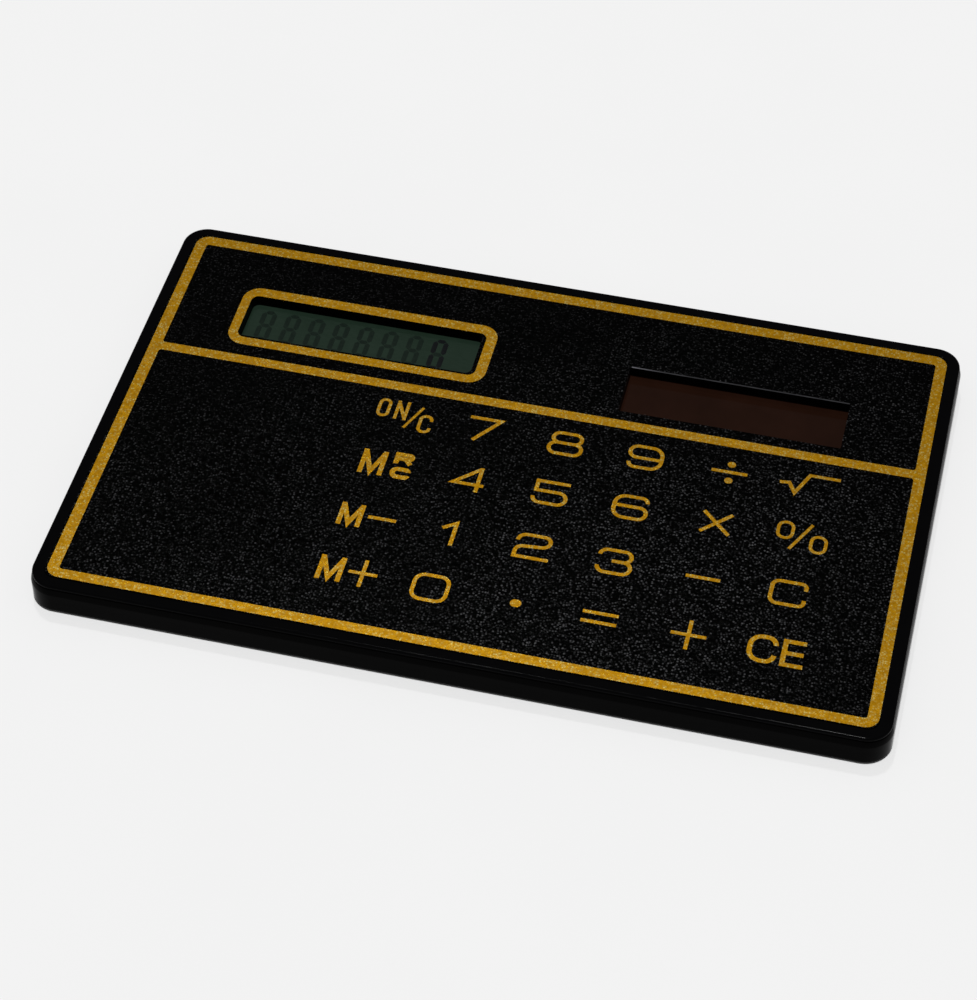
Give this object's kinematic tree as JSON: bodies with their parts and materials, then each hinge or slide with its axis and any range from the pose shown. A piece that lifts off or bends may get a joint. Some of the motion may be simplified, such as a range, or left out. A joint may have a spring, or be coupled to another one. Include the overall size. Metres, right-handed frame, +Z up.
{
  "type": "pocket calculator",
  "caption": "Flat solar pocket calculator the size of a bank card, with a small display, a solar window and touch keys under a printed film.",
  "frame": {"origin": "centre of the underside, on the surface the calculator lies on", "axes": "+X along the long side to the reader's right, +Y from the keys to the display, +Z up out of the key face"},
  "size_m": [0.086, 0.0544, 0.0036],
  "materials": {
    "printed_film": "fine leather-like grain, gold print",
    "black_casing": "glossy moulded",
    "key_rubber": "matt",
    "mat_rubber": "matt",
    "board": "green solder mask",
    "epoxy": "satin epoxy",
    "ceramic": "fired ceramic",
    "resistor": "fired ceramic",
    "led": "clear red resin",
    "red_wire": "smooth insulation",
    "black_wire": "smooth insulation",
    "polariser": "satin grey-green film",
    "display_glass": "clear",
    "reflector": "satin silver",
    "zebra": "matt",
    "foam": "matt foam",
    "solar_glass": "clear glass over brown cell, dark",
    "solar_layer": "dark brown coating"
  },
  "bodies": {
    "case": {"face_film": "printed_film", "front_casing": "black_casing", "rear_cover": "black_casing", "key_mat": "mat_rubber", "circuit_board": "board", "chip_cover": "epoxy", "supply_capacitor": "ceramic", "timing_capacitor": "ceramic", "timing_resistor": "resistor", "voltage_clamp_led": "led", "solar_lead_positive": "red_wire", "solar_lead_negative": "black_wire", "lcd_front_polariser": "polariser", "lcd_front_glass": "display_glass", "lcd_rear_glass": "display_glass", "lcd_reflector": "reflector", "display_connector": "zebra", "display_cushion": "foam", "solar_cell_glass": "solar_glass", "solar_cell_layer": "solar_layer", "solar_cushion": "foam"},
    "key_on_c": {"key_on_c": "key_rubber"},
    "key_7": {"key_7": "key_rubber"},
    "key_8": {"key_8": "key_rubber"},
    "key_9": {"key_9": "key_rubber"},
    "key_divide": {"key_divide": "key_rubber"},
    "key_root": {"key_root": "key_rubber"},
    "key_memory_recall": {"key_memory_recall": "key_rubber"},
    "key_4": {"key_4": "key_rubber"},
    "key_5": {"key_5": "key_rubber"},
    "key_6": {"key_6": "key_rubber"},
    "key_multiply": {"key_multiply": "key_rubber"},
    "key_percent": {"key_percent": "key_rubber"},
    "key_memory_minus": {"key_memory_minus": "key_rubber"},
    "key_1": {"key_1": "key_rubber"},
    "key_2": {"key_2": "key_rubber"},
    "key_3": {"key_3": "key_rubber"},
    "key_minus": {"key_minus": "key_rubber"},
    "key_clear": {"key_clear": "key_rubber"},
    "key_memory_plus": {"key_memory_plus": "key_rubber"},
    "key_0": {"key_0": "key_rubber"},
    "key_point": {"key_point": "key_rubber"},
    "key_equals": {"key_equals": "key_rubber"},
    "key_plus": {"key_plus": "key_rubber"},
    "key_clear_entry": {"key_clear_entry": "key_rubber"}
  },
  "joints": [
    {"name": "key_on_c_press", "type": "slide", "parent": "case", "child": "key_on_c", "axis": [0, 0, -1], "range_m": [0, 0.00028], "stiffness_N_per_m": 1500, "springref_m": -0.0002},
    {"name": "key_7_press", "type": "slide", "parent": "case", "child": "key_7", "axis": [0, 0, -1], "range_m": [0, 0.00028], "stiffness_N_per_m": 1500, "springref_m": -0.0002},
    {"name": "key_8_press", "type": "slide", "parent": "case", "child": "key_8", "axis": [0, 0, -1], "range_m": [0, 0.00028], "stiffness_N_per_m": 1500, "springref_m": -0.0002},
    {"name": "key_9_press", "type": "slide", "parent": "case", "child": "key_9", "axis": [0, 0, -1], "range_m": [0, 0.00028], "stiffness_N_per_m": 1500, "springref_m": -0.0002},
    {"name": "key_divide_press", "type": "slide", "parent": "case", "child": "key_divide", "axis": [0, 0, -1], "range_m": [0, 0.00028], "stiffness_N_per_m": 1500, "springref_m": -0.0002},
    {"name": "key_root_press", "type": "slide", "parent": "case", "child": "key_root", "axis": [0, 0, -1], "range_m": [0, 0.00028], "stiffness_N_per_m": 1500, "springref_m": -0.0002},
    {"name": "key_memory_recall_press", "type": "slide", "parent": "case", "child": "key_memory_recall", "axis": [0, 0, -1], "range_m": [0, 0.00028], "stiffness_N_per_m": 1500, "springref_m": -0.0002},
    {"name": "key_4_press", "type": "slide", "parent": "case", "child": "key_4", "axis": [0, 0, -1], "range_m": [0, 0.00028], "stiffness_N_per_m": 1500, "springref_m": -0.0002},
    {"name": "key_5_press", "type": "slide", "parent": "case", "child": "key_5", "axis": [0, 0, -1], "range_m": [0, 0.00028], "stiffness_N_per_m": 1500, "springref_m": -0.0002},
    {"name": "key_6_press", "type": "slide", "parent": "case", "child": "key_6", "axis": [0, 0, -1], "range_m": [0, 0.00028], "stiffness_N_per_m": 1500, "springref_m": -0.0002},
    {"name": "key_multiply_press", "type": "slide", "parent": "case", "child": "key_multiply", "axis": [0, 0, -1], "range_m": [0, 0.00028], "stiffness_N_per_m": 1500, "springref_m": -0.0002},
    {"name": "key_percent_press", "type": "slide", "parent": "case", "child": "key_percent", "axis": [0, 0, -1], "range_m": [0, 0.00028], "stiffness_N_per_m": 1500, "springref_m": -0.0002},
    {"name": "key_memory_minus_press", "type": "slide", "parent": "case", "child": "key_memory_minus", "axis": [0, 0, -1], "range_m": [0, 0.00028], "stiffness_N_per_m": 1500, "springref_m": -0.0002},
    {"name": "key_1_press", "type": "slide", "parent": "case", "child": "key_1", "axis": [0, 0, -1], "range_m": [0, 0.00028], "stiffness_N_per_m": 1500, "springref_m": -0.0002},
    {"name": "key_2_press", "type": "slide", "parent": "case", "child": "key_2", "axis": [0, 0, -1], "range_m": [0, 0.00028], "stiffness_N_per_m": 1500, "springref_m": -0.0002},
    {"name": "key_3_press", "type": "slide", "parent": "case", "child": "key_3", "axis": [0, 0, -1], "range_m": [0, 0.00028], "stiffness_N_per_m": 1500, "springref_m": -0.0002},
    {"name": "key_minus_press", "type": "slide", "parent": "case", "child": "key_minus", "axis": [0, 0, -1], "range_m": [0, 0.00028], "stiffness_N_per_m": 1500, "springref_m": -0.0002},
    {"name": "key_clear_press", "type": "slide", "parent": "case", "child": "key_clear", "axis": [0, 0, -1], "range_m": [0, 0.00028], "stiffness_N_per_m": 1500, "springref_m": -0.0002},
    {"name": "key_memory_plus_press", "type": "slide", "parent": "case", "child": "key_memory_plus", "axis": [0, 0, -1], "range_m": [0, 0.00028], "stiffness_N_per_m": 1500, "springref_m": -0.0002},
    {"name": "key_0_press", "type": "slide", "parent": "case", "child": "key_0", "axis": [0, 0, -1], "range_m": [0, 0.00028], "stiffness_N_per_m": 1500, "springref_m": -0.0002},
    {"name": "key_point_press", "type": "slide", "parent": "case", "child": "key_point", "axis": [0, 0, -1], "range_m": [0, 0.00028], "stiffness_N_per_m": 1500, "springref_m": -0.0002},
    {"name": "key_equals_press", "type": "slide", "parent": "case", "child": "key_equals", "axis": [0, 0, -1], "range_m": [0, 0.00028], "stiffness_N_per_m": 1500, "springref_m": -0.0002},
    {"name": "key_plus_press", "type": "slide", "parent": "case", "child": "key_plus", "axis": [0, 0, -1], "range_m": [0, 0.00028], "stiffness_N_per_m": 1500, "springref_m": -0.0002},
    {"name": "key_clear_entry_press", "type": "slide", "parent": "case", "child": "key_clear_entry", "axis": [0, 0, -1], "range_m": [0, 0.00028], "stiffness_N_per_m": 1500, "springref_m": -0.0002}
  ]
}
